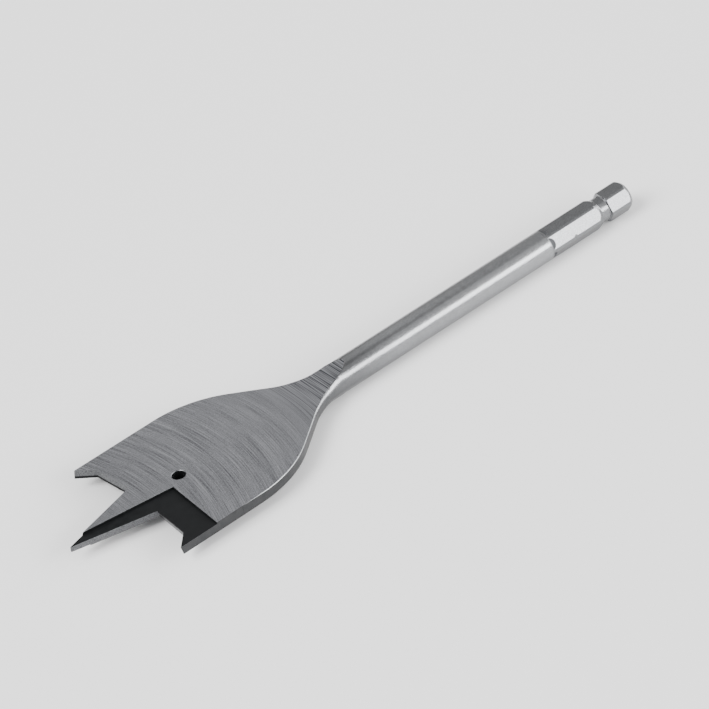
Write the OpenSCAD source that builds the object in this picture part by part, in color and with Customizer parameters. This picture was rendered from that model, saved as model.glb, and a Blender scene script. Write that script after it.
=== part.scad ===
// Spade bit: one forged steel piece, with a hex shank, a round shaft and a flat winged blade.
// The axis is X. The shank's end is at the origin and the point faces +X.
// The blade lies flat in the XY plane, and a half turn about X brings it onto itself.

/* [Overall] */
// Length from the shank's end to the tip of the point
overall_length = 152; // [130:1:200]
// Width across the wings, which is the size of the hole that it cuts
blade_width = 38; // [30:1:44]
// Thickness of the ground blade
blade_thickness = 2.4; // [2.2:0.1:3]

/* [Shank] */
// Diameter of the round shaft
shaft_d = 7; // [6.7:0.05:7.3]
// Width across the flats of the hex shank
hex_af = 6.35; // [6:0.05:6.5]
// Length of the hex, from the shank's end to where the flats have run out
hex_length = 22.9; // [18:0.1:30]
// Length over which each flat runs out into the round shaft
flat_runout = 1.1; // [0.6:0.1:2]
// Distance from the shank's end to the middle of the retaining groove
groove_from_end = 7.2; // [7:0.1:10]
// Width of the floor of the retaining groove
groove_floor = 1.9; // [1:0.1:2.4]
// Diameter at the floor of the retaining groove
groove_d = 5.7; // [5:0.1:5.9]
// Slope of the groove's wall on the shaft's side, from the axis
groove_wall = 25; // [20:1:60]
// Slope of the groove's wall on the end's side, from the axis
groove_end_wall = 70; // [45:1:80]
// Length of the bevel on the shank's end
end_bevel = 0.9; // [0.5:0.1:2.5]
// Diameter of the flat at the shank's end
end_d = 5.6; // [4:0.1:5.8]

/* [Neck and shoulders] */
// Distance from the tip to where the neck becomes the round shaft
neck_end = 72.3; // [70:0.1:90]
// Slope of the shoulders, from the axis
shoulder_angle = 38; // [34:1:46]
// Radius that rounds each shoulder into the blade's side
shoulder_radius = 26; // [10:1:28]
// Radius of the hollow between shoulder and shaft
neck_radius = 21; // [10:1:24]
// Distance from the tip to where the ground faces begin to rise towards the shaft
grind_end = 60; // [57:0.5:61]
// Angle at which the ground faces begin to rise
grind_rise = 2; // [1:0.5:4]
// Radius of the wheel that leaves the ground faces' run-out on the neck
wheel_radius = 54; // [40:1:80]

/* [Wings] */
// Distance from the tip to the line of the cutting edges, on the axis
edge_from_tip = 19.4; // [17:0.1:20]
// Slant of the cutting edges, with their outer ends forward
edge_slant = 4; // [0:0.5:6]
// Relief behind the cutting edges and spurs
edge_relief = 11; // [6:0.5:14]
// Width of each spur, across the wing
spur_width = 3.7; // [2.5:0.1:5]
// Height of each spur, ahead of the cutting edge
spur_height = 3.5; // [2:0.1:5]

/* [Point] */
// Angle of each side of the point, from the axis
point_half_angle = 15; // [12:0.5:18]
// Relief behind the point's two edges
point_relief = 10; // [4:0.5:12]
// Width of the tip across the rake faces
tip_width = 0.4; // [0.3:0.05:0.8]

/* [Rake recesses] */
// Depth of each rake recess, on the axis
recess_depth = 0.65; // [0.4:0.05:0.75]
// Tilt of the recess floor, which makes it shallower outwards
recess_tilt = 0.6; // [0:0.1:1]
// Distance that the recess reaches back from the cutting edge
recess_reach = 6.4; // [4:0.1:6.5]
// Distance from the axis to the recess's inner back corner
recess_inset = 2.2; // [1:0.1:3]
// Angle of the recess's long wall, from the axis
recess_angle = 8.5; // [6:0.5:9]

/* [Hanging hole] */
// Diameter of the hole through the blade
hole_d = 3; // [2:0.1:4]
// Distance from the tip to the middle of the hole
hole_from_tip = 28.8; // [28:0.1:33]

/* [Hidden] */
$fn = 128;

shaft_r = shaft_d / 2;
half_width = blade_width / 2;
half_thick = blade_thickness / 2;
rake_z = half_thick - recess_depth;

// Where the hex's flats and the groove are, seen from the tip
hex_from_tip = overall_length - hex_length;
groove_from_tip = overall_length - groove_from_end;

// Corners that the two radii of the outline round off, as [radius, distance from the tip]
neck_tangent = neck_radius * tan(shoulder_angle / 2);
shoulder_tangent = shoulder_radius * tan(shoulder_angle / 2);
neck_corner = [shaft_r, neck_end - neck_tangent];
shoulder_corner = [half_width, neck_corner.y - (half_width - shaft_r) / tan(shoulder_angle)];
down_slope = [-sin(shoulder_angle), cos(shoulder_angle)];

// Ends of the two rounds
shoulder_a = shoulder_corner - [0, shoulder_tangent];
shoulder_b = shoulder_corner + shoulder_tangent * down_slope;
neck_a = neck_corner - neck_tangent * down_slope;
neck_b = [shaft_r, neck_end];

// Reach of the cutting tools past the part, so that no two faces lie in one plane
past = 5;

// Turns a shape that stands on Z so that it lies along X
module along_x() {
    rotate([0, 90, 0]) children();
}

// Repeats a feature on both faces, a half turn apart about the axis
module both_faces() {
    for (turn = [0, 180])
        rotate([turn, 0, 0]) children();
}

// The outer part of a slice of a disc, from one point on its rim to another
module disc_slice(centre, from, to) {
    spoke_a = from - centre;
    spoke_b = to - centre;
    inner = 0.8;
    outer = 1.5;
    intersection() {
        translate(centre) circle(r = norm(spoke_a), $fn = 360);
        translate(centre)
            polygon([inner * spoke_a, outer * spoke_a, outer * spoke_b, inner * spoke_b]);
    }
}

// Half of the blank's outline: blade side, shoulder, neck, shaft, groove and bevelled end
module blank_outline() {
    difference() {
        union() {
            polygon([
                [0, 0], [half_width, 0], shoulder_a, shoulder_b, neck_a, neck_b,
                [shaft_r, overall_length - end_bevel], [end_d / 2, overall_length], [0, overall_length]
            ]);
            disc_slice(shoulder_a - [shoulder_radius, 0], shoulder_a, shoulder_b);
        }
        disc_slice(neck_b + [neck_radius, 0], neck_a, neck_b);
        groove_section();
    }
}

// Section of the retaining groove: a flat floor between two sloping walls
module groove_section() {
    depth = shaft_r - groove_d / 2 + past;
    shaft_side = -groove_floor / 2 - depth / tan(groove_wall);
    end_side = groove_floor / 2 + depth / tan(groove_end_wall);
    translate([groove_d / 2, groove_from_tip])
        polygon([
            [0, -groove_floor / 2], [depth, shaft_side], [depth, end_side], [0, groove_floor / 2]
        ]);
}

// The blank before it is ground, round about the axis
module blank() {
    along_x() rotate_extrude() blank_outline();
}

// What the six flats take off the round bar, running out on a cone
module hex_flats() {
    drop = shaft_r - hex_af / 2;
    start = hex_from_tip - flat_runout;
    difference() {
        translate([start, 0, 0]) along_x()
            cylinder(r = shaft_d, h = hex_length + flat_runout + past);
        translate([start - past, 0, 0]) along_x() rotate(30)
            cylinder(d = hex_af / cos(30), h = hex_length + 4 * past, $fn = 6);
        translate([start - flat_runout, 0, 0]) along_x()
            cylinder(r1 = shaft_r + 2 * drop, r2 = hex_af / 2 - drop, h = 4 * flat_runout);
    }
}

// What grinding takes off one face: flat over the blade, then the wheel's radius up the neck
module ground_face() {
    rim = [grind_end - wheel_radius * sin(grind_rise), half_thick + wheel_radius * cos(grind_rise)];
    rotate([90, 0, 0])
        linear_extrude(height = blade_width + 2 * past, center = true)
            intersection() {
                union() {
                    translate([-past, 0]) square([grind_end + past, rim.y]);
                    translate(rim) circle(r = wheel_radius, $fn = 360);
                }
                translate([-2 * past, half_thick]) square([overall_length, wheel_radius]);
            }
}

// Everything ahead of one wing, leaning back under its cutting edge by the relief
module wing_front() {
    lean = cos(edge_relief);
    slant = tan(edge_slant);
    corner_y = half_width - spur_width;
    corner_x = -slant * corner_y;
    spur_slope = spur_height / spur_width;
    reach = spur_width + past;
    ahead = -2 * edge_from_tip;
    outline = [
        [slant, 1], [corner_x, -corner_y], [corner_x - spur_slope * reach, -corner_y - reach],
        [ahead, -corner_y - reach], [ahead, 1]
    ];
    translate([edge_from_tip, 0, rake_z]) rotate([0, -edge_relief, 0])
        linear_extrude(height = 4 * past, center = true)
            polygon([for (p = outline) [p.x * lean, p.y]]);
}

// The centre point, rooted in the blade, with both of its sides relieved
module point() {
    root = edge_from_tip + recess_reach / 2;
    difference() {
        translate([0, -half_width / 2, -past]) cube([root, half_width, 2 * past]);
        both_faces()
            translate([0, -tip_width / 2, rake_z])
                rotate([0, 0, -point_half_angle]) rotate([point_relief, 0, 0])
                    translate([-past, -half_width, -2 * past]) cube([2 * root, half_width, 4 * past]);
    }
}

// The rake recess of one wing: along its cutting edge, and down the point to the tip
module rake_recess() {
    corner = [edge_from_tip + recess_reach - tan(edge_slant) * recess_inset, -recess_inset];
    exit = [-past, corner.y + tan(recess_angle) * (corner.x + past)];
    outer_y = -half_width - past;
    outer_x = corner.x - tan(edge_slant) * (corner.y - outer_y);
    translate([0, 0, rake_z]) rotate([-recess_tilt, 0, 0])
        linear_extrude(height = past)
            polygon([corner, exit, [-past, outer_y], [outer_x, outer_y]]);
}

// The finished piece, drawn from the tip
module bit_from_tip() {
    difference() {
        union() {
            difference() {
                blank();
                both_faces() wing_front();
            }
            point();
        }
        both_faces() ground_face();
        both_faces() rake_recess();
        hex_flats();
        translate([hole_from_tip, 0, 0]) cylinder(d = hole_d, h = 4 * past, center = true);
    }
}

module spade_bit() {
    color([0.62, 0.62, 0.64])
        translate([overall_length, 0, 0]) rotate([0, 0, 180]) bit_from_tip();
}

spade_bit();
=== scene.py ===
# %% [markdown]
# # A spade bit in Blender
# The object is a flat wood-boring bit: a hex shank with a groove, a round shaft, and a blade that was forged
# flat, ground on both faces and given two wings, two spurs and a centre point. It is one piece of steel, so
# it becomes one mesh with four finishes.
#
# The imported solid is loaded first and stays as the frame, and its box gives the three overall sizes. Lengths
# are in millimetres. Places along the axis are measured back from the tip of the point and called stations.

# %% Load the frame
import bmesh
import bpy
import numpy as np
from mathutils import Matrix, Vector


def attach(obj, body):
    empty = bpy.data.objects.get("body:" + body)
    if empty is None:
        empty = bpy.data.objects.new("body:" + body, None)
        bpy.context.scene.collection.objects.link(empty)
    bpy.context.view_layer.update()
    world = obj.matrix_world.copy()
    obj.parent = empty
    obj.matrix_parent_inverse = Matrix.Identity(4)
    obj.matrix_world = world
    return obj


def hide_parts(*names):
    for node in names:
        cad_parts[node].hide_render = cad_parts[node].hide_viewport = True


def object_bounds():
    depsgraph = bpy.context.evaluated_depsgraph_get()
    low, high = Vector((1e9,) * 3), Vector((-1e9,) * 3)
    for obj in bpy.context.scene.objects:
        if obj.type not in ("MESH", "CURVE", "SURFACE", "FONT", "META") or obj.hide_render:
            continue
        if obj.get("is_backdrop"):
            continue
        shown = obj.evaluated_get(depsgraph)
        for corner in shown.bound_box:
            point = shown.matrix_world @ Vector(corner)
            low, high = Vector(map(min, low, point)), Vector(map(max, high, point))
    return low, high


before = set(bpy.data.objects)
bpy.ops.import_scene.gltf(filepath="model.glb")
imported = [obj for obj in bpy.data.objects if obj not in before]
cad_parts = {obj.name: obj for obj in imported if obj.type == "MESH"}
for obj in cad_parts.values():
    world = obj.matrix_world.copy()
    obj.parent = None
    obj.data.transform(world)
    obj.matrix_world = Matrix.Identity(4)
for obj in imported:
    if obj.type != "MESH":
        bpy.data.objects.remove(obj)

cad_low, cad_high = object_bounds()
# A faceted solid falls a hair short of its own curves, so the sizes are rounded to a tenth
box_mm = (np.array(cad_high) - np.array(cad_low)) * 1000
OVERALL_LENGTH, BLADE_WIDTH, SHAFT_WIDTH = np.round(box_mm, 1)
print("nodes:", list(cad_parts))
print("length, width and shaft in mm:", OVERALL_LENGTH, BLADE_WIDTH, SHAFT_WIDTH)

# %% [markdown]
# ## The camera
# A camera is a place, a direction and a lens. The picture was taken from far away with a long lens, so lines
# that are parallel on the bit stay nearly parallel. The place could be found by trial, but it is surer to fit
# it to corners that are easy to name: the tip, the spurs, the hole and the shank's end. The direction comes
# from the point that the camera looks at, and a vector that is upright in the picture gives the roll.

# %% Camera
FOCAL_PIXELS = 6000.0
PICTURE_PIXELS = 709.0
SENSOR_WIDTH = 36.0
CAMERA_PLACE = Vector((0.592012, 0.870135, 0.764912))
CAMERA_TARGET = Vector((0.073187, -0.003355, 0.0))
PICTURE_UP = Vector((-0.49262, -0.38907, 0.77843))

forward = (CAMERA_TARGET - CAMERA_PLACE).normalized()
right = forward.cross(PICTURE_UP).normalized()
up = right.cross(forward)
camera_data = bpy.data.cameras.new("photo_camera")
camera_data.sensor_fit = "HORIZONTAL"
camera_data.sensor_width = SENSOR_WIDTH
camera_data.lens = FOCAL_PIXELS / PICTURE_PIXELS * SENSOR_WIDTH
camera = bpy.data.objects.new("photo_camera", camera_data)
camera_turn = Matrix((right, up, -forward)).transposed().to_4x4()
camera.matrix_world = Matrix.Translation(CAMERA_PLACE) @ camera_turn
bpy.context.scene.collection.objects.link(camera)
bpy.context.scene.camera = camera
print("lens in mm:", round(camera_data.lens, 1))

# %% [markdown]
# ## The outline
# Seen from above, the blade's sides run straight, turn in round a shoulder, and sweep into the shaft through
# a hollow. This could be a drawn curve, extruded, but the forging dies leave the sides round about the axis.
# So one radius for each station holds the whole outline, and np.where picks its formula for all the stations
# at once.

# %% Radius of the blank
HALF_WIDTH = BLADE_WIDTH / 2
SHAFT_RADIUS = SHAFT_WIDTH / 2
NECK_END = 72.3
SHOULDER_ANGLE = np.radians(38.0)
SHOULDER_RADIUS = 26.0
NECK_RADIUS = 21.0

neck_tangent = NECK_RADIUS * np.tan(SHOULDER_ANGLE / 2)
shoulder_tangent = SHOULDER_RADIUS * np.tan(SHOULDER_ANGLE / 2)
neck_corner = NECK_END - neck_tangent
shoulder_corner = neck_corner - (HALF_WIDTH - SHAFT_RADIUS) / np.tan(SHOULDER_ANGLE)
shoulder_start = shoulder_corner - shoulder_tangent
shoulder_end = shoulder_corner + shoulder_tangent * np.cos(SHOULDER_ANGLE)
neck_start = neck_corner - neck_tangent * np.cos(SHOULDER_ANGLE)


def blank_radius(s):
    """Radius at station s: a straight side, a round shoulder, a straight slope, a hollow neck and the
    straight shaft. Each round is a circle, and Pythagoras gives its height."""
    past_start = np.clip(s - shoulder_start, 0, SHOULDER_RADIUS)
    shoulder = HALF_WIDTH - SHOULDER_RADIUS + np.sqrt(SHOULDER_RADIUS**2 - past_start**2)
    slope = HALF_WIDTH - (s - shoulder_corner) * np.tan(SHOULDER_ANGLE)
    to_end = np.clip(NECK_END - s, 0, NECK_RADIUS)
    neck = SHAFT_RADIUS + NECK_RADIUS - np.sqrt(NECK_RADIUS**2 - to_end**2)
    return np.where(s < shoulder_end, shoulder, np.where(s < neck_start, slope, neck))


print("shoulder from", round(shoulder_start, 1), "to", round(shoulder_end, 1))
print("neck from", round(neck_start, 1), "to", NECK_END)

# %% [markdown]
# ## The ground faces
# A wheel grinds both faces parallel and then lifts off along its own radius, which leaves a tongue on the
# neck, shaped like a fingernail. A boolean cut would give the same, but would also leave ragged triangles.
# So the half thickness is a formula too: constant over the blade, then a circle.

# %% Half thickness left by the wheel
HALF_THICKNESS = 1.2
GRIND_END = 60.0
GRIND_RISE = np.radians(2.0)
WHEEL_RADIUS = 54.0
WHEEL_REACH = 30.0

wheel_middle = GRIND_END - WHEEL_RADIUS * np.sin(GRIND_RISE)
wheel_height = HALF_THICKNESS + WHEEL_RADIUS * np.cos(GRIND_RISE)


def ground_height(s):
    """Half thickness at station s: flat up to the end of the grind, then the wheel's circle by Pythagoras, as
    far along as it is needed."""
    along = np.clip(s, GRIND_END, wheel_middle + WHEEL_REACH) - wheel_middle
    return wheel_height - np.sqrt(WHEEL_RADIUS**2 - along**2)


# The tongue ends where the wheel's circle comes up to the shaft's radius
tongue_end = wheel_middle + np.sqrt(WHEEL_RADIUS**2 - (wheel_height - SHAFT_RADIUS) ** 2)
print("the tongue ends", round(tongue_end, 1), "mm from the tip")

# %% [markdown]
# ## The shank
# The shank began as round bar. Six flats make it a hex, with narrow round lands left at the corners, a turned
# groove takes the ball of a quick-change holder, and the end is bevelled. All of these only take metal off
# the bar, so the radius is the smallest of several simple radii. Where two of them cross, a soft minimum
# rounds the corner a little, as tools and wear do. At the inner end of each flat the solid has a plain cone.
# On the real one the bar rolls over into the flat, which shows as a dark crescent, so here it does too, and
# the satin steel darkens it further with painted shade.

# %% Radius of the shank
HEX_FLAT = 6.35 / 2
HEX_START = 128.8
FLAT_RUNOUT = 1.5
GROOVE_MIDDLE = 144.8
GROOVE_FLOOR = 1.9
GROOVE_RADIUS = 5.7 / 2
GROOVE_WALL = np.tan(np.radians(25.0))
GROOVE_END_WALL = np.tan(np.radians(70.0))
GROOVE_FOOT_ROUND = 0.2
GROOVE_EDGE_ROUND = 0.06
END_BEVEL = 0.9
END_RADIUS = 5.6 / 2
END_EDGE_ROUND = 0.12


def soft_min(a, b, round_off):
    """The smaller of a and b, with the corner between them rounded by a parabola about round_off wide."""
    share = np.clip(0.5 + 0.5 * (b - a) / round_off, 0, 1)
    return b + (a - b) * share - round_off * share * (1 - share)


def flat_and_roll(s, angle):
    """Radius of the nearest flat, which grows with the angle from its middle, and of the bar where it rolls
    over into the flats: it falls with the square of the distance, ever more steeply."""
    from_flat = np.mod(angle, np.pi / 3) - np.pi / 6
    flat = HEX_FLAT / np.cos(from_flat)
    share = np.maximum(s - HEX_START, 0) / FLAT_RUNOUT
    roll = SHAFT_RADIUS - (SHAFT_RADIUS - HEX_FLAT) * share**2
    return flat, roll


def shank_radius(s, angle):
    """Radius at station s and an angle round the axis: the bar with its flats, cut by the groove's floor with
    its gentle and steep walls, and by the bevel at the end."""
    bar = np.minimum(SHAFT_RADIUS, np.maximum(*flat_and_roll(s, angle)))
    gentle_wall = np.maximum(GROOVE_MIDDLE - GROOVE_FLOOR / 2 - s, 0) * GROOVE_WALL
    steep_wall = (s - GROOVE_MIDDLE - GROOVE_FLOOR / 2) * GROOVE_END_WALL
    groove = GROOVE_RADIUS + gentle_wall - soft_min(-steep_wall, 0, GROOVE_FOOT_ROUND)
    bevel = END_RADIUS + (OVERALL_LENGTH - s) * (SHAFT_RADIUS - END_RADIUS) / END_BEVEL
    return soft_min(soft_min(bar, groove, GROOVE_EDGE_ROUND), bevel, END_EDGE_ROUND)


# A sixth of a turn holds one flat and one land, here as half angles in degrees
flat_half = np.degrees(np.arccos(HEX_FLAT / SHAFT_RADIUS))
land_half = 30 - flat_half
print("each round land is", round(2 * np.radians(land_half) * SHAFT_RADIUS, 2), "mm wide")

# %% [markdown]
# ## One skin for blade, neck, shaft and shank
# A skin is a grid: rows are stations along the axis, and columns go round the section. It needs close rows
# where the shape turns fast and few where it runs straight, so each stretch has its own number of steps. The
# columns are set so that one falls on every edge of the hex.

# %% Rows and columns of the skin
SKIN_START = 31.2
# Where each stretch ends, and its number of steps
ROWS = [
    (56, 50), (64, 40), (75, 110), (128.7, 29), (131, 30), (134.7, 10), (136.3, 16), (141.4, 13),
    (145.4, 32), (146.4, 25), (150.4, 4), (OVERALL_LENGTH, 22),
]
SIDE_COLUMNS = [(-land_half, 16), (land_half, 6), (45, 16)]
FACE_COLUMNS = [
    (60 - land_half, 8), (60 + land_half, 6), (120 - land_half, 18), (120 + land_half, 6), (135, 8),
]


def stepped(start, stretches):
    """Values from start to the end of each stretch in turn, with equal steps inside a stretch."""
    parts = [np.array([start], float)]
    for end, steps in stretches:
        parts.append(np.linspace(parts[-1][-1], end, steps + 1)[1:])
    return np.concatenate(parts)


stations = stepped(SKIN_START, ROWS)
side_angles = stepped(-45, SIDE_COLUMNS)
face_angles = stepped(45, FACE_COLUMNS)
half_turn = np.concatenate([side_angles[:-1], face_angles[:-1]])
angles = np.radians(np.concatenate([half_turn, half_turn + 180]))
print(len(stations), "stations by", len(angles), "columns")

# %% [markdown]
# ## The forged edge
# Between the blade's side and its ground face lies an edge that the forging dies left round. It is tight at
# the wings and opens out towards the neck, until it is the shaft's own round. A Bevel modifier has one width
# for all, so the round is a formula: its radius, and the angle at which it meets the ground face, are chosen
# at a few stations, and np.interp fills in between.

# %% Round of the forged edge
# Station, radius of the round, and angle in degrees where it meets the ground face
FORGED_EDGE = np.array([
    (SKIN_START, 0.10, 60), (36, 0.34, 42), (40, 0.50, 44), (44, 0.55, 48), (50, 0.55, 54), (56, 0.60, 57),
    (60, 0.80, 58), (63, 1.20, 56), (66, 2.10, 53), (68, 2.90, 49), (70.3, 3.65, 45),
])
edge_stations, edge_radii, edge_meets = FORGED_EDGE.T


def edge_circle(s):
    """The radius, centre (y, z) and meeting angle of the edge's round at each station, as columns. The round
    touches the blank's circle from inside, and its height follows from where it meets the ground face."""
    r = blank_radius(s)[:, None]
    radius = np.minimum(np.interp(s, edge_stations, edge_radii)[:, None], r)
    meet = np.radians(np.interp(s, edge_stations, edge_meets))[:, None]
    centre_z = np.maximum(ground_height(s)[:, None] - radius * np.sin(meet), 0)
    centre_z = np.where(radius >= r, 0, centre_z)
    centre_y = np.sqrt(np.maximum((r - radius) ** 2 - centre_z**2, 0))
    return radius, centre_y, centre_z, meet


print("the edge's radius grows from", edge_radii.min(), "to", edge_radii.max(), "mm")

# %% [markdown]
# ## Points of the skin
# On the shaft a column is just an angle. On the blade, the columns within 45 degrees of the wing go round the
# forged edge, and the others share out the ground face. A point of an arc follows from the direction that the
# surface faces there, so the side columns are spread by that direction. This keeps the highlight smooth,
# because light depends on the direction and not on the place.

# %% Points of the skin
ROUND_FROM = edge_stations[-1]
ROUND_TO = 80.0
QUARTER = np.pi / 4
TINY = 1e-6


def from_wing(angle):
    """The angle from the wing that begins this half of the section, from -45 to 135 degrees, as one row."""
    return np.mod(angle + QUARTER, np.pi)[None, :] - QUARTER


def skin_section(s, angle):
    """Section points (y, z) for every station and column. Side columns face a direction between level and
    where the edge meets the ground face: the first half on the blank's circle, the rest on the edge's round.
    Where the section is round, they move over to their own angles. Face columns share out the width between
    the two edges, on top of the same round. The height is cut off at the wheel's level."""
    r = blank_radius(s)[:, None]
    h = ground_height(s)[:, None]
    radius, centre_y, centre_z, meet = edge_circle(s)
    turned = from_wing(angle)
    share = np.abs(turned) / QUARTER
    on_blank = share < 0.5
    switch = np.arctan2(centre_z, np.maximum(centre_y, TINY))
    facing = np.where(on_blank, 2 * share * switch, switch + (2 * share - 1) * (meet - switch))
    rounded = np.clip((s - ROUND_FROM) / (ROUND_TO - ROUND_FROM), 0, 1)[:, None]
    facing = facing + rounded * (np.abs(turned) - facing)
    side_y = np.where(on_blank, r * np.cos(facing), centre_y + radius * np.cos(facing))
    side_z = np.where(on_blank, r * np.sin(facing), centre_z + radius * np.sin(facing)) * np.sign(turned)
    face_y = (centre_y + radius * np.cos(meet)) * np.cos(turned) / np.cos(QUARTER)
    past_centre = np.maximum(np.abs(face_y) - centre_y, 0)
    face_z = centre_z + np.sqrt(np.maximum(radius**2 - past_centre**2, 0))
    on_side = share <= 1 + TINY
    y = np.where(on_side, side_y, face_y)
    z = np.clip(np.where(on_side, side_z, face_z), -h, h)
    other_half = np.mod(angle + QUARTER, 2 * np.pi)[None, :] >= np.pi
    return np.where(other_half, -y, y), np.where(other_half, -z, z)


skin_s = np.broadcast_to(stations[:, None], (len(stations), len(angles)))
skin_y, skin_z = skin_section(stations, angles)
on_shank = skin_s > ROUND_TO
bar = shank_radius(skin_s, angles[None, :])
skin_y = np.where(on_shank, bar * np.cos(angles), skin_y)
skin_z = np.where(on_shank, bar * np.sin(angles), skin_z)
print("skin reaches", round(float(skin_y.max()), 2), "mm across and", round(float(skin_z.max()), 2), "mm up")

# %% [markdown]
# ## A nick on the shank
# The real shank has a small nick on the corner between two flats. It could be painted on, but a dent also
# shows in the outline and in the mesh itself. It is deepest in its middle and fades as a bell curve.

# %% Nick
NICK_STATION = 135.5
NICK_DEPTH = 0.18
NICK_REACH = 0.32

along_nick = (skin_s - NICK_STATION) / NICK_REACH
across_nick = SHAFT_RADIUS * (np.mod(angles + np.pi, 2 * np.pi) - np.pi) / NICK_REACH
nick = NICK_DEPTH * np.exp(-along_nick**2 - across_nick**2)
shrink = 1 - nick / SHAFT_RADIUS * on_shank
skin_y = skin_y * shrink
skin_z = skin_z * shrink
print("deepest dent", round(float(nick.max()), 2), "mm")

# %% [markdown]
# ## Planes of the cutting end
# Ahead of the skin every face was cut flat: the rake recesses, the relief behind the cutting edges and spurs,
# and the two sides of the point. A flat face needs no grid, only its corners, and a corner is where three
# planes meet. So the planes are written down once and the corners are worked out from them. The other face of
# the bit is the same after a half turn about the axis.

# %% Planes of the cutting end
EDGE_FROM_TIP = 19.4
EDGE_SLANT = np.tan(np.radians(4.0))
EDGE_RELIEF = np.tan(np.radians(11.0))
SPUR_WIDTH = 3.7
SPUR_HEIGHT = 3.5
POINT_SLOPE = np.tan(np.radians(15.0))
POINT_RELIEF = np.tan(np.radians(10.0)) / np.cos(np.radians(15.0))
TIP_HALF = 0.2
RECESS_DEPTH = 0.65
RECESS_TILT = np.tan(np.radians(0.6))
RECESS_REACH = 6.4
RECESS_INSET = 2.2
RECESS_WALL = np.tan(np.radians(8.5))

rake_level = HALF_THICKNESS - RECESS_DEPTH
recess_back = EDGE_FROM_TIP + RECESS_REACH
spur_corner = HALF_WIDTH - SPUR_WIDTH
spur_slope = SPUR_HEIGHT / SPUR_WIDTH
spur_base = EDGE_FROM_TIP - EDGE_SLANT * spur_corner + spur_slope * spur_corner
wall_base = RECESS_INSET - RECESS_WALL * (recess_back - EDGE_SLANT * RECESS_INSET)

# Planes as (a, b, c, d), with a * s + b * y + c * z = d
top_face = (0, 0, 1, HALF_THICKNESS)
recess_floor = (0, -RECESS_TILT, 1, rake_level)
near_edge = (1, EDGE_SLANT, EDGE_RELIEF, EDGE_FROM_TIP + rake_level * EDGE_RELIEF)
near_spur = (1, spur_slope, EDGE_RELIEF, spur_base + rake_level * EDGE_RELIEF)
near_point = (-POINT_SLOPE, 1, -POINT_RELIEF, TIP_HALF - rake_level * POINT_RELIEF)
near_side = (0, 1, 0, np.sqrt(HALF_WIDTH**2 - HALF_THICKNESS**2))
tip_plane = (1, 0, 0, 0)
long_wall = (-RECESS_WALL, 1, 0, wall_base)
back_wall = (1, EDGE_SLANT, 0, recess_back)


def other_side(plane):
    """The plane after a half turn about the axis, which changes the signs of y and z."""
    a, b, c, d = plane
    return (a, -b, -c, d)


far_edge, far_spur = other_side(near_edge), other_side(near_spur)
far_point, far_side = other_side(near_point), other_side(near_side)
print("the recess floor lies", round(rake_level, 2), "mm above the middle")

# %% [markdown]
# ## Corners of the cutting end
# Three planes give three linear equations, and np.linalg.solve finds the one point that is on all of them.
# On the upper face the recess leaves the point with a clear step. On the underside the picture shows hardly
# any, so there the floor rises before it leaves the point.

# %% Corners
RECESS_RISE = 0.38
rising_floor = (0, -RECESS_TILT, 1, rake_level + RECESS_RISE)


def corner(*planes):
    """The point where three planes meet: the solution of three linear equations."""
    rows = np.array(planes, float)
    return np.linalg.solve(rows[:, :3], rows[:, 3])


# On the top face
far_spur_tip = corner(top_face, far_spur, far_side)
far_spur_root = corner(top_face, far_spur, far_edge)
far_root = corner(top_face, far_edge, far_point)
wall_exit = corner(top_face, long_wall, far_point)
wall_corner = corner(top_face, long_wall, back_wall)
wall_end = corner(top_face, back_wall, near_side)
# On the floor of the recess
floor_exit = corner(recess_floor, long_wall, far_point)
floor_corner = corner(recess_floor, long_wall, back_wall)
floor_end = corner(recess_floor, back_wall, near_side)
spur_tip = corner(recess_floor, near_spur, near_side)
spur_root = corner(recess_floor, near_spur, near_edge)
root = corner(recess_floor, near_edge, near_point)
tip_near = corner(recess_floor, near_point, tip_plane)
tip_far = corner(recess_floor, far_point, tip_plane)
# On the rising floor of the underside
shallow_exit = corner(rising_floor, long_wall, far_point)
shallow_tip = corner(rising_floor, far_point, tip_plane)
print("spur tip", spur_tip.round(2), "and root of the wing", root.round(2))

# %% [markdown]
# ## The hanging hole and the top faces
# A hole in a flat face needs a cut from its rim to the face's own edge, so the face is made in two halves
# that meet at the hole. The first row of the skin is the top face's back edge. The hole's rim has a fine
# bevel, which catches a thin line of light.

# %% Hole and top faces
HOLE_RADIUS = 1.5
HOLE_STATION = 28.8
HOLE_STEPS = 32
RIM_WIDTH = 0.14


def hole_rim(start, depth):
    """Points half way round the hole from one angle, at this depth below the face. The circle is wider by the
    rim's bevel at the face, and narrows by as much as it goes down."""
    turn = np.radians(np.linspace(start, start + 180, HOLE_STEPS + 1))
    radius = HOLE_RADIUS + RIM_WIDTH - depth
    level = np.full_like(turn, HALF_THICKNESS - depth)
    return np.stack([HOLE_STATION - radius * np.cos(turn), radius * np.sin(turn), level], -1)


def strip(first, second):
    """Four-cornered faces between two rows of points."""
    return list(np.stack([first[:-1], first[1:], second[1:], second[:-1]], 1))


first_row = np.stack([np.full(len(angles), SKIN_START), skin_y[0], skin_z[0]], -1)
near_line = first_row[:len(side_angles)]
top_line = first_row[len(side_angles) - 1:len(side_angles) - 1 + len(face_angles)]
middle = len(face_angles) // 2
near_top = np.concatenate([hole_rim(0, 0), top_line[:middle + 1][::-1], [wall_end, wall_corner]])
far_top = np.concatenate([
    [wall_corner, wall_exit, far_root, far_spur_root, far_spur_tip],
    top_line[middle:][::-1], hole_rim(180, 0),
])
bore = hole_rim(0, RIM_WIDTH)
bore_walls = strip(bore, bore * np.array([1, 1, -1]))
rim_bevel = strip(hole_rim(0, 0), bore) + strip(hole_rim(180, 0), hole_rim(180, RIM_WIDTH))
print(len(near_top), "and", len(far_top), "corners in the two top faces")

# %% [markdown]
# ## Faces of the cutting end
# Each face is a list of corners with a finish. The recesses are black, and so is a strip along each cutting
# edge, where the heat treatment's film was not ground away. So each relief face is cut in two by a line that
# is set back from its edge. The faces at the point are made by a function, because they differ between the
# two sides of the bit.

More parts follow.
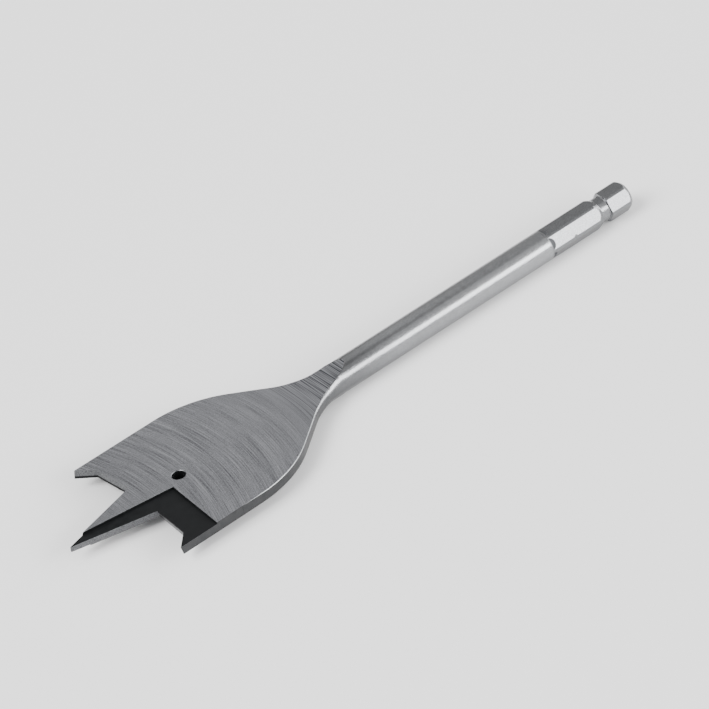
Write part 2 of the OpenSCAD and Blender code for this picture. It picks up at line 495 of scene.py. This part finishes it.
# %% Faces
FILM_WIDTH = 0.50
# Finishes, by their place in the mesh's list of materials
SHINY, FORGED, BLACK, GROUND = range(4)


def turned_over(points):
    """Points after a half turn about the axis."""
    return np.asarray(points) * np.array([1, -1, -1])


low_root, low_spur_root, low_spur_tip = turned_over([far_root, far_spur_root, far_spur_tip])
film_share = FILM_WIDTH / (root[2] - low_root[2])
film_root = root + film_share * (low_root - root)
film_spur_root = spur_root + film_share * (low_spur_root - spur_root)
film_spur_tip = spur_tip + film_share * (low_spur_tip - spur_tip)
wing_side = np.concatenate([[floor_end, wall_end], near_line[::-1], [low_spur_tip, film_spur_tip, spur_tip]])

half_faces = [
    (GROUND, near_top),
    (GROUND, far_top),
    (BLACK, np.array([floor_corner, floor_end, spur_tip, spur_root, root, tip_near])),
    (BLACK, np.array([wall_corner, wall_end, floor_end, floor_corner])),
    (FORGED, wing_side),
    (BLACK, np.array([root, spur_root, film_spur_root, film_root])),
    (SHINY, np.array([film_root, film_spur_root, low_spur_root, low_root])),
    (BLACK, np.array([spur_root, spur_tip, film_spur_tip, film_spur_root])),
    (SHINY, np.array([film_spur_root, film_spur_tip, low_spur_tip, low_spur_root])),
]
half_faces += [(BLACK, wall) for wall in bore_walls]
half_faces += [(SHINY, bevel) for bevel in rim_bevel]


def point_faces(exit_here, tip_here, exit_below, tip_below):
    """The faces at the point that depend on where the recess's floor leaves it, here and on the other face:
    the long wall, the floor along it and the point's near side."""
    below = turned_over([wall_exit, exit_below, tip_below])
    return [
        (BLACK, np.array([wall_exit, wall_corner, floor_corner, exit_here])),
        (BLACK, np.array([exit_here, floor_corner, tip_near, tip_here])),
        (SHINY, np.array([tip_near, root, film_root, low_root, *below])),
    ]


upper_faces = half_faces + point_faces(floor_exit, tip_far, shallow_exit, shallow_tip)
lower_faces = half_faces + point_faces(shallow_exit, shallow_tip, floor_exit, tip_far)
tip_face = np.array([tip_near, tip_far, *turned_over([tip_near, shallow_tip])])
flat_faces = upper_faces + [(finish, turned_over(points)) for finish, points in lower_faces]
flat_faces.append((SHINY, tip_face))
print(len(flat_faces), "flat faces")

# %% [markdown]
# ## One mesh
# The grid and the flat faces go into one mesh. A grid's faces follow from the numbering: a point's neighbours
# are one place on in its row and one row on. The wheel's level tells which of the grid's faces are ground and
# which are still forged.

# %% Points and faces in one mesh


def in_frame(s, y, z):
    """Turns stations, and distances across the blade and out of its face, in mm, into the frame's metres."""
    return np.stack([OVERALL_LENGTH - s, y, z], axis=-1) / 1000


rows, columns = skin_s.shape
row, column = np.meshgrid(np.arange(rows - 1), np.arange(columns), indexing="ij")
next_column = (column + 1) % columns
quads = np.stack([
    row * columns + column, row * columns + next_column,
    (row + 1) * columns + next_column, (row + 1) * columns + column,
], -1).reshape(-1, 4)
end_cap = (rows - 1) * columns + np.arange(columns)
ground = (np.abs(skin_z) > ground_height(skin_s) - TINY) & (skin_s < tongue_end)
skin_finish = np.where(ground.reshape(-1)[quads].all(axis=1), GROUND, FORGED)

flat_points = np.concatenate([points for finish, points in flat_faces])
points_m = np.concatenate([in_frame(skin_s, skin_y, skin_z).reshape(-1, 3), in_frame(*flat_points.T)])
counts = np.array([len(points) for finish, points in flat_faces])
starts = skin_s.size + np.cumsum(counts) - counts
flat_loops = [list(range(start, start + count)) for start, count in zip(starts, counts)]
finishes = np.concatenate([skin_finish, [FORGED], [finish for finish, points in flat_faces]])

mesh = bpy.data.meshes.new("spade_bit_steel")
mesh.from_pydata(points_m.tolist(), [], quads.tolist() + [end_cap.tolist()] + flat_loops)
mesh.polygons.foreach_set("material_index", finishes.astype(np.int32))
mesh.polygons.foreach_set("use_smooth", np.ones(len(finishes), bool))
print(len(points_m), "points and", len(finishes), "faces before the seams are closed")

# %% [markdown]
# ## Where the steel is rubbed, or rough with painted shade
# Two places differ from the skin around them and follow the surface, not the room: handling rubs the upper
# part of the forged edge bright, and the end of each flat is rough and carries painted shade for its dark
# crescent. Each is a number from 0 to 1 on the mesh's points, an attribute, which the satin steel reads later.

# %% Attributes for the finish
RUBBED_FROM = 0.68
RUBBED_OVER = 0.12
RUBBED_FADE = 6.0
RUNOUT_FADE = 0.03


def rubbed_share(s, angle):
    """How far a point lies in the rubbed part of the forged edge: the share of the way round it, counted from
    two thirds up. It starts gently behind the wing."""
    share = np.abs(from_wing(angle)) / QUARTER
    up_edge = np.clip((share - RUBBED_FROM) / RUBBED_OVER, 0, 1) * (share <= 1 + TINY)
    return up_edge * np.clip((s[:, None] - SKIN_START) / RUBBED_FADE, 0, 1)


def run_out_share(s, angle):
    """How far a point lies on the roll at the end of a flat: 1 on it, fading within a hair of depth towards
    the flat and towards the bar."""
    flat, roll = flat_and_roll(s[:, None], angle[None, :])
    return np.clip((roll - flat) / RUNOUT_FADE, 0, 1) * np.clip((SHAFT_RADIUS - roll) / RUNOUT_FADE, 0, 1)


for name, share in (("rubbed", rubbed_share), ("run_out", run_out_share)):
    values = np.zeros(len(points_m))
    values[:skin_s.size] = share(stations, angles).reshape(-1)
    mesh.attributes.new(name, "FLOAT", "POINT").data.foreach_set("value", values)
    print(name, "on", int((values > 0).sum()), "points")

# %% [markdown]
# ## Closed seams and broken edges
# Points that lie on each other are merged, which closes the seam between grid and flat faces, and then the
# normals are turned outwards. Faces that meet at more than a small angle keep a sharp edge, and the skin is
# shaded smooth. No real edge is perfectly sharp, and a thin line of light along it is how the eye knows. So a
# Bevel modifier breaks the long edges where the black film ends by a hair, and each such edge gets a weight.

# %% Close the mesh
MERGE_WITHIN = 2e-6
LONG_EDGE = 0.0006
TURNS_BY = np.radians(30.0)
SHARP_ANGLE = np.radians(16.0)

work = bmesh.new()
work.from_mesh(mesh)
work.faces.ensure_lookup_table()
cut_faces = set(work.faces[len(quads) + 1:])
bmesh.ops.remove_doubles(work, verts=work.verts, dist=MERGE_WITHIN)
bmesh.ops.recalc_face_normals(work, faces=work.faces)
weight = work.edges.layers.float.new("bevel_weight_edge")
for edge in work.edges:
    between_cuts = all(face in cut_faces for face in edge.link_faces)
    finishes_here = {face.material_index for face in edge.link_faces}
    film_ends = len(finishes_here) == 2 and BLACK in finishes_here
    if between_cuts and film_ends and edge.calc_length() > LONG_EDGE:
        edge[weight] = float(edge.calc_face_angle(0.0) > TURNS_BY)
open_edges = sum(len(edge.link_faces) != 2 for edge in work.edges)
volume = work.calc_volume(signed=True) * 1e9
work.to_mesh(mesh)
work.free()
mesh.set_sharp_from_angle(angle=float(SHARP_ANGLE))
print(len(mesh.polygons), "faces,", open_edges, "open edges,", round(volume, 1), "cubic mm")

# %% [markdown]
# ## The piece in the frame
# The mesh becomes an object at the origin, with its place in its points, as the solid's is. It rides on the
# only body, and stands for the solid, which is hidden but still there for collision.

# %% The bit
EDGE_BREAK = 0.00005

bit = bpy.data.objects.new("spade_bit_steel", mesh)
bpy.context.scene.collection.objects.link(bit)
broken = bit.modifiers.new("broken_edges", "BEVEL")
broken.limit_method = "WEIGHT"
broken.width = EDGE_BREAK
broken.segments = 1
# Clamping would let the shortest edge make the whole bevel narrower
broken.use_clamp_overlap = False
broken.material = SHINY
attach(bit, "root")
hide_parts("spade_bit")
print(bit.name, "rides on root")

# %% [markdown]
# ## Helpers for materials
# One small function adds a shader node, sets what it is given and makes its links. Colours are hex values as
# a screen shows them, and another function turns them into the linear values that the shader needs. Patterns
# sit on the object's own coordinates, which count in metres from the shank's end. So the places in the next
# cells are millimetres from that end, times MM.

# %% Helpers for materials
MM = 0.001
MATH = "ShaderNodeMath"
RANGE = "ShaderNodeMapRange"
MIX = "ShaderNodeMix"
NOISE = "ShaderNodeTexNoise"
COORDINATES = "ShaderNodeTexCoord"
# The colour version of a Mix node has its colours at inputs 6 and 7 and its result at output 2
DARK, LIGHT, MIXED = 6, 7, 2
# Most of a noise lies between these two, so a Map Range node spreads them over 0 to 1
NOISE_LOW, NOISE_HIGH = 0.3, 0.7


def colour(hex_value):
    """A screen colour such as "8a8c8e" as linear red, green, blue and alpha."""
    screen = np.array([int(hex_value[i:i + 2], 16) / 255 for i in (0, 2, 4)])
    linear = np.where(screen <= 0.04045, screen / 12.92, ((screen + 0.055) / 1.055) ** 2.4)
    return (*linear.tolist(), 1.0)


def add_node(tree, kind, inputs=(), output=0, **settings):
    """Adds a node and returns one of its outputs. Inputs are values or other nodes' outputs, in the node's
    own order or by name, and settings are the node's options."""
    made = tree.nodes.new(kind)
    for name, value in settings.items():
        setattr(made, name, value)
    named = inputs if isinstance(inputs, dict) else dict(enumerate(inputs))
    for name, value in named.items():
        if isinstance(value, bpy.types.NodeSocket):
            tree.links.new(value, made.inputs[name])
        else:
            made.inputs[name].default_value = value
    return made.outputs[output]


def new_finish(name, metallic):
    """Makes a material and returns it with its node tree and its shader."""
    material = bpy.data.materials.new(name)
    material.use_nodes = True
    tree = material.node_tree
    shader = tree.nodes["Principled BSDF"]
    shader.inputs["Metallic"].default_value = metallic
    return material, tree, shader


print("a middle grey of 808080 is", round(colour("808080")[0], 3), "in linear light")

# %% [markdown]
# ## Ground steel: the marks
# The faces are carbon steel, ground on a coarse wheel, which leaves a dull metal with fine lines. The wheel
# crosses the blade in arcs that bow towards the shank, and on the tongue, where it lifts off, it leaves
# coarse straight lines. An image could hold the lines, but noise that is drawn out along an arc has no seams:
# one coordinate counts across the marks and is bent by a parabola, and the other runs along them.

# %% Marks of the wheel
ARC_RADIUS = 58.0
ARC_MIDDLE = -4.0
BEND_FROM, BEND_TO = 84.0, 94.0
# Width and length of a mark, and the part of the noise that is spread over 0 to 1. Real marks are a few
# hundredths of a millimetre wide, and these are drawn coarser so that they show
FINE_MARK = (0.18, 13.0, 0.30, 0.70)
BROAD_BAND = (1.7, 45.0, 0.32, 0.68)
TONGUE_LINE = (0.28, 45.0, 0.42, 0.56)
GRIT = 0.25

# Ground carbon steel: a dull metal, whose lines break up what it mirrors
face_ground, tree, shader = new_finish("face_ground_steel", 1.0)
where = add_node(tree, COORDINATES, output="Object")
x = add_node(tree, "ShaderNodeSeparateXYZ", (where,), "X")
y = x.node.outputs["Y"]
off_middle = add_node(tree, MATH, (y, ARC_MIDDLE * MM), operation="SUBTRACT")
squared = add_node(tree, MATH, (off_middle, off_middle), operation="MULTIPLY")
bow = add_node(tree, MATH, (squared, 1 / (2 * ARC_RADIUS * MM)), operation="MULTIPLY")
on_blade = add_node(tree, RANGE, (x, BEND_FROM * MM, BEND_TO * MM, 0, 1))
bend = add_node(tree, MATH, (bow, on_blade), operation="MULTIPLY")
across = add_node(tree, MATH, (x, bend), operation="SUBTRACT")
streaks = []
for width, length, low, high in (FINE_MARK, BROAD_BAND, TONGUE_LINE):
    along = add_node(tree, MATH, (y, width / length), operation="MULTIPLY")
    drawn = add_node(tree, "ShaderNodeCombineXYZ", (across, along))
    noise = add_node(tree, NOISE, {"Vector": drawn, "Scale": 1 / (width * MM), "Detail": 2.0}, "Fac")
    streaks.append(add_node(tree, RANGE, (noise, low, high)))
fine, broad, coarse = streaks
noise = add_node(tree, NOISE, {"Vector": where, "Scale": 1 / (GRIT * MM), "Detail": 1.0}, "Fac")
grit = add_node(tree, RANGE, (noise, NOISE_LOW, NOISE_HIGH))
print("marks", FINE_MARK[0], "mm wide on the blade and", TONGUE_LINE[0], "mm on the tongue")

# %% [markdown]
# ## Ground steel: tone
# Fine marks, broad bands and grit add up to one height, which sets colour, roughness and bump together, as it
# does on the real face: a scratch is darker and rougher. The marks are calmer near the neck. One pass of the
# wheel left a brighter arc, and two small dark pits lie near the forged edge.

# %% Tone of the ground steel
FINE_WEIGHT, BROAD_WEIGHT, GRIT_WEIGHT = 0.50, 0.18, 0.32
CALM_TO, LIVELY_FROM, CALM_SHARE = 92.0, 112.0, 0.45
BRIGHT_ARC, ARC_CORE, ARC_EDGE, ARC_GAIN = 114.18, 0.08, 0.30, 0.3
TONGUE_FROM, TONGUE_TO = 84.0, 97.0
PITS = np.array([(103.0, 15.0, 1.2), (105.9, 16.5, 1.2)])
PIT_RADIUS, PIT_DARKNESS = 0.22, 0.8
SCRATCH_ROUGHNESS, FACE_ROUGHNESS = 0.50, 0.38
MARK_DEPTH, MARK_STRENGTH = 0.02, 0.35
MIDDLE_TONE = 0.5

marks = add_node(tree, MATH, (fine, FINE_WEIGHT), operation="MULTIPLY")
marks = add_node(tree, MATH, (broad, BROAD_WEIGHT, marks), operation="MULTIPLY_ADD")
marks = add_node(tree, MATH, (grit, GRIT_WEIGHT, marks), operation="MULTIPLY_ADD")
lively = add_node(tree, RANGE, (x, CALM_TO * MM, LIVELY_FROM * MM, CALM_SHARE, 1))
marks = add_node(tree, MATH, (marks, MIDDLE_TONE), operation="SUBTRACT")
marks = add_node(tree, MATH, (marks, lively, MIDDLE_TONE), operation="MULTIPLY_ADD")
from_arc = add_node(tree, MATH, (across, BRIGHT_ARC * MM), operation="SUBTRACT")
from_arc = add_node(tree, MATH, (from_arc,), operation="ABSOLUTE")
arc = add_node(tree, RANGE, (from_arc, ARC_CORE * MM, ARC_EDGE * MM, ARC_GAIN, 0))
marks = add_node(tree, MATH, (arc, broad, marks), operation="MULTIPLY_ADD")

blade_tones = {0: marks, DARK: colour("3f4043"), LIGHT: colour("a4a5a9")}
tongue_tones = {0: coarse, DARK: colour("2c2d30"), LIGHT: colour("8e8f93")}
blade_tone = add_node(tree, MIX, blade_tones, MIXED, data_type="RGBA")
tongue_tone = add_node(tree, MIX, tongue_tones, MIXED, data_type="RGBA")
tongue = add_node(tree, RANGE, (x, TONGUE_FROM * MM, TONGUE_TO * MM, 1, 0))
tone = add_node(tree, MIX, {0: tongue, DARK: blade_tone, LIGHT: tongue_tone}, MIXED, data_type="RGBA")
for pit in (PITS * MM).tolist():
    reach = add_node(tree, "ShaderNodeVectorMath", (where, pit), "Value", operation="DISTANCE")
    in_pit = add_node(tree, RANGE, (reach, PIT_RADIUS / 2 * MM, PIT_RADIUS * MM, PIT_DARKNESS, 0))
    tone = add_node(tree, MIX, {0: in_pit, DARK: tone, LIGHT: colour("1a1a1b")}, MIXED, data_type="RGBA")
roughness = add_node(tree, RANGE, (marks, 0, 1, SCRATCH_ROUGHNESS, FACE_ROUGHNESS))
bump = {"Height": marks, "Distance": MARK_DEPTH * MM, "Strength": MARK_STRENGTH}
tree.links.new(tone, shader.inputs["Base Color"])
tree.links.new(roughness, shader.inputs["Roughness"])
tree.links.new(add_node(tree, "ShaderNodeBump", bump), shader.inputs["Normal"])
print(face_ground.name, "has", len(tree.nodes), "nodes")

# %% [markdown]
# ## Satin steel: the skin
# Shaft, shank and the blade's sides are drawn and forged steel with a satin skin: a clear but soft highlight,
# slightly uneven. Broad patches and a fine grain vary the colour by a few levels, and the grain also stands
# up as bump. The real grain is finer, and is drawn coarser so that it shows.

# %% Skin of the satin steel
PATCH, GRAIN = 1.4, 0.32
PATCH_WEIGHT, GRAIN_WEIGHT = 0.35, 0.65
GRAIN_DEPTH, GRAIN_STRENGTH = 0.014, 0.5

# Drawn and forged carbon steel: a metal with a soft, clear highlight
forged_satin, tree, shader = new_finish("forged_satin_steel", 1.0)
where = add_node(tree, COORDINATES, output="Object")
x = add_node(tree, "ShaderNodeSeparateXYZ", (where,), "X")
noise = add_node(tree, NOISE, {"Vector": where, "Scale": 1 / (PATCH * MM), "Detail": 2.0}, "Fac")
patches = add_node(tree, RANGE, (noise, NOISE_LOW, NOISE_HIGH))
noise = add_node(tree, NOISE, {"Vector": where, "Scale": 1 / (GRAIN * MM), "Detail": 1.0}, "Fac")
grain = add_node(tree, RANGE, (noise, NOISE_LOW, NOISE_HIGH))
speckle = add_node(tree, MATH, (patches, PATCH_WEIGHT), operation="MULTIPLY")
speckle = add_node(tree, MATH, (grain, GRAIN_WEIGHT, speckle), operation="MULTIPLY_ADD")
bump = {"Height": grain, "Distance": GRAIN_DEPTH * MM, "Strength": GRAIN_STRENGTH}
tree.links.new(add_node(tree, "ShaderNodeBump", bump), shader.inputs["Normal"])
print("patches of", PATCH, "mm and grain of", GRAIN, "mm")

# %% [markdown]
# ## Satin steel: tone
# The shaft is brightest by the shank and a little darker towards the neck, which is painted shade for the
# darker reflections there, and the blade's sides are duller still, except along their rubbed edge. The hex was
# shaped cold and has its own tone, and the ends of its flats are rough and painted darker, as painted shade
# for the dark crescent there.

# %% Tone of the satin steel
# Painted shade: between these two places the shaft's tone darkens towards the neck, for the darker reflections
# there
NECK_SHADE_FROM, NECK_SHADE_TO = 26.0, 74.0
HEX_FROM, HEX_TO = 22.5, 23.5
HEAT_FROM, HEAT_TO = 66.0, 94.0
SMOOTHEST, ROUGHEST, ROUGH_END = 0.235, 0.265, 0.45

rubbed = add_node(tree, "ShaderNodeAttribute", output="Fac", attribute_name="rubbed")
run_out = add_node(tree, "ShaderNodeAttribute", output="Fac", attribute_name="run_out")
neck_shade = add_node(tree, RANGE, (x, NECK_SHADE_FROM * MM, NECK_SHADE_TO * MM))
on_hex = add_node(tree, RANGE, (x, HEX_FROM * MM, HEX_TO * MM, 1, 0))
unrubbed = add_node(tree, MATH, (1.0, rubbed), operation="SUBTRACT")
heated = add_node(tree, RANGE, (x, HEAT_FROM * MM, HEAT_TO * MM))
heated = add_node(tree, MATH, (heated, unrubbed), operation="MULTIPLY")
tones = []
for share, dark, light in (
    (speckle, "8a8b8d", "9a9b9d"), (speckle, "7a7b7d", "8a8b8d"),
    (speckle, "78797b", "88898b"), (patches, "3f4041", "484849"),
):
    two_tones = {0: share, DARK: colour(dark), LIGHT: colour(light)}
    tones.append(add_node(tree, MIX, two_tones, MIXED, data_type="RGBA"))
tone, neck_shade_tone, hex_tone, heated_tone = tones
# The run-out's tone is painted shade, which darkens the ends of the flats into the crescent
for share, other_tone in (
    (neck_shade, neck_shade_tone), (on_hex, hex_tone), (heated, heated_tone), (run_out, colour("57585a")),
):
    tone = add_node(tree, MIX, {0: share, DARK: tone, LIGHT: other_tone}, MIXED, data_type="RGBA")
skin_roughness = add_node(tree, RANGE, (patches, 0, 1, SMOOTHEST, ROUGHEST))
roughness = add_node(tree, MATH, (run_out, ROUGH_END, skin_roughness), operation="MULTIPLY_ADD")
tree.links.new(tone, shader.inputs["Base Color"])
tree.links.new(roughness, shader.inputs["Roughness"])
print(forged_satin.name, "has", len(tree.nodes), "nodes")

# %% [markdown]
# ## Edge steel and black film
# The relief faces and the sides of the point are ground on a rough wheel without much care: matt steel with
# dark specks. The film in the recesses is black oxide from the heat treatment. It isn't a metal to the eye,
# but nearly black, with a dull sheen and faint clouds.

# %% Edge steel and black film
SPECK, SPECK_LOW, SPECK_HIGH = 0.22, 0.35, 0.62
SPECK_DEPTH, SPECK_STRENGTH = 0.02, 0.4
EDGE_ROUGHNESS = 0.42
CLOUD = 1.6
FILM_SHEEN = 0.08
FILM_SMOOTHEST, FILM_ROUGHEST = 0.42, 0.55

# Roughly ground carbon steel: a matt metal that sparkles a little
edge_ground, tree, shader = new_finish("edge_ground_steel", 1.0)
where = add_node(tree, COORDINATES, output="Object")
shader.inputs["Roughness"].default_value = EDGE_ROUGHNESS
noise = add_node(tree, NOISE, {"Vector": where, "Scale": 1 / (SPECK * MM), "Detail": 2.0}, "Fac")
specks = add_node(tree, RANGE, (noise, SPECK_LOW, SPECK_HIGH))
edge_tones = {0: specks, DARK: colour("4c4d4f"), LIGHT: colour("747577")}
bump = {"Height": specks, "Distance": SPECK_DEPTH * MM, "Strength": SPECK_STRENGTH}
tree.links.new(add_node(tree, MIX, edge_tones, MIXED, data_type="RGBA"), shader.inputs["Base Color"])
tree.links.new(add_node(tree, "ShaderNodeBump", bump), shader.inputs["Normal"])

# Black oxide: nearly black, and so thin and rough that hardly any gloss is left
black_film, tree, shader = new_finish("black_oxide_film", 0.0)
where = add_node(tree, COORDINATES, output="Object")
shader.inputs["Specular IOR Level"].default_value = FILM_SHEEN
noise = add_node(tree, NOISE, {"Vector": where, "Scale": 1 / (CLOUD * MM), "Detail": 3.0}, "Fac")
clouds = add_node(tree, RANGE, (noise, NOISE_LOW, NOISE_HIGH))
film_tones = {0: clouds, DARK: colour("101112"), LIGHT: colour("161718")}
tree.links.new(add_node(tree, MIX, film_tones, MIXED, data_type="RGBA"), shader.inputs["Base Color"])
roughness = add_node(tree, RANGE, (clouds, 0, 1, FILM_SMOOTHEST, FILM_ROUGHEST))
tree.links.new(roughness, shader.inputs["Roughness"])

# The order is that of the numbers SHINY, FORGED, BLACK and GROUND
for finish in (edge_ground, forged_satin, black_film, face_ground):
    mesh.materials.append(finish)
print("finishes:", [material.name for material in mesh.materials])

# %% [markdown]
# ## The floor
# The bit lies on the lowest part of its shaft, on white paper. The paper is large enough that no edge of it
# shows, and it is marked as stage, because it isn't part of the object.

# %% Floor
FLOOR_HALF = 6.0
PAPER_ROUGHNESS = 0.9

floor_level = -SHAFT_RADIUS * MM
floor_corners = np.array([(-1, -1), (1, -1), (1, 1), (-1, 1)]) * FLOOR_HALF
floor_points = np.column_stack([floor_corners, np.full(4, floor_level)])

floor_mesh = bpy.data.meshes.new("floor")
floor_mesh.from_pydata(floor_points.tolist(), [], [(0, 1, 2, 3)])
floor_object = bpy.data.objects.new("floor", floor_mesh)
bpy.context.scene.collection.objects.link(floor_object)
# Matt paper: white, with no gloss
paper, tree, shader = new_finish("matt_white_paper", 0.0)
shader.inputs["Base Color"].default_value = colour("f4f4f4")
shader.inputs["Roughness"].default_value = PAPER_ROUGHNESS
floor_mesh.materials.append(paper)
floor_object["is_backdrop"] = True
print("floor at", round(floor_level * 1000, 2), "mm")

# %% [markdown]
# ## Light
# Polished steel shows what it mirrors, so each lamp is placed by working out which way a face throws the line
# of sight. The low box stands where the hex's side flat and the shaft's long highlight look. The shank box
# stands where the forged edge looks as it turns into the neck. The floor box lights the paper and the faces
# that look forward. The glow box is faint and softens the upper side of the highlight. The neck box is small
# and hangs close over the shank's end, where only the shaft's upper side by the neck looks. A plain white sky
# fills the rest.

# %% Lamps
SKY_STRENGTH = 0.64
BIT_MIDDLE = (0.076, 0.0, 0.0)
SHANK_END = (0.004, 0.0, 0.0)
# Name, place, aim, size in metres and power in watts
LAMPS = [
    ("low_side_box", (-0.54, 1.26, 0.54), BIT_MIDDLE, (1.3, 0.65), 28),
    ("shank_side_box", (-1.20, 0.38, 0.52), BIT_MIDDLE, (1.2, 0.58), 15),
    ("floor_box", (1.3, -0.2, 1.3), BIT_MIDDLE, (1.2, 1.2), 50),
    ("glow_box", (-0.62, 0.75, 1.35), BIT_MIDDLE, (1.0, 0.8), 1.5),
    ("neck_box", (0.004, -0.14, 0.18), SHANK_END, (0.10, 0.24), 0.056),
]

world = bpy.data.worlds.new("studio")
bpy.context.scene.world = world
world.use_nodes = True
sky = world.node_tree.nodes["Background"]
sky.inputs["Color"].default_value = colour("ffffff")
sky.inputs["Strength"].default_value = SKY_STRENGTH

for name, place, aim, size, power in LAMPS:
    lamp = bpy.data.lights.new(name, "AREA")
    lamp.shape = "RECTANGLE"
    lamp.size, lamp.size_y = size
    lamp.energy = power
    softbox = bpy.data.objects.new(name, lamp)
    softbox.location = place
    softbox.rotation_euler = (Vector(aim) - Vector(place)).to_track_quat("-Z", "Y").to_euler()
    bpy.context.scene.collection.objects.link(softbox)
    print(name, "of", power, "W")

# %% [markdown]
# ## Size
# Blender must not change the object's size, so the box of the finished mesh is printed, to set beside the
# solid's sizes printed at the start.

# %% Size and finish
low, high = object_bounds()
print("visual box in metres:", [round(value, 4) for value in (*low, *high)])
